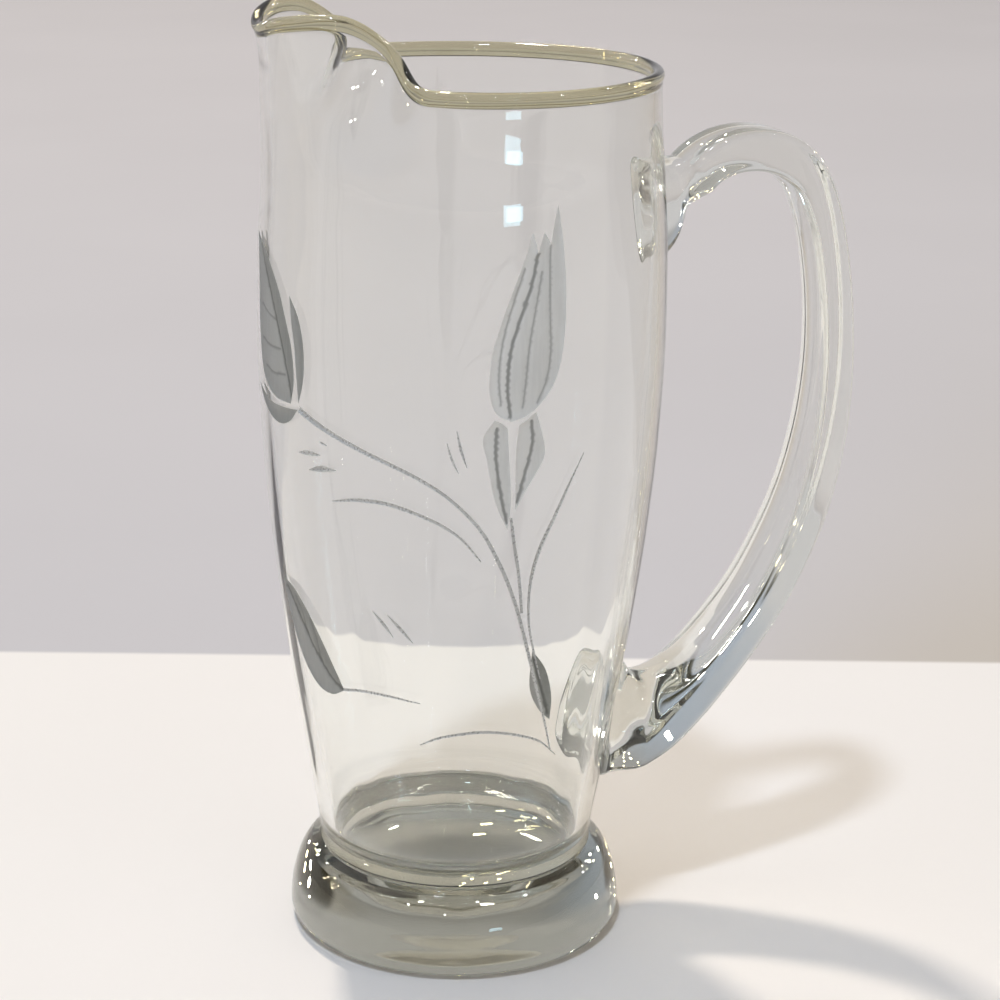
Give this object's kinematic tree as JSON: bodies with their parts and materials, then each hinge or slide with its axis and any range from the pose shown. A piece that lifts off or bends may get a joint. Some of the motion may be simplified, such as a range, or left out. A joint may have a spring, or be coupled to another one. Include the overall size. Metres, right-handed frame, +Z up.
{
  "type": "glass cocktail pitcher",
  "caption": "Tall clear glass pitcher: barrel bowl with a raised pinched ice lip, thick round foot and a drawn strap handle, cut with leaf sprays.",
  "frame": {"origin": "centre of the flat underside of the foot, on the bowl's axis", "axes": "+Z up along the bowl's axis, +X towards the handle, -X towards the pouring lip, +Y to the left of someone who holds the handle and pours"},
  "size_m": [0.1647, 0.107, 0.2508],
  "materials": {
    "clear_glass": "fire-polished, with matte wheel-cut leaves on the bowl"
  },
  "bodies": {
    "root": {"bowl": "clear_glass", "foot": "clear_glass", "handle": "clear_glass"}
  },
  "joints": []
}
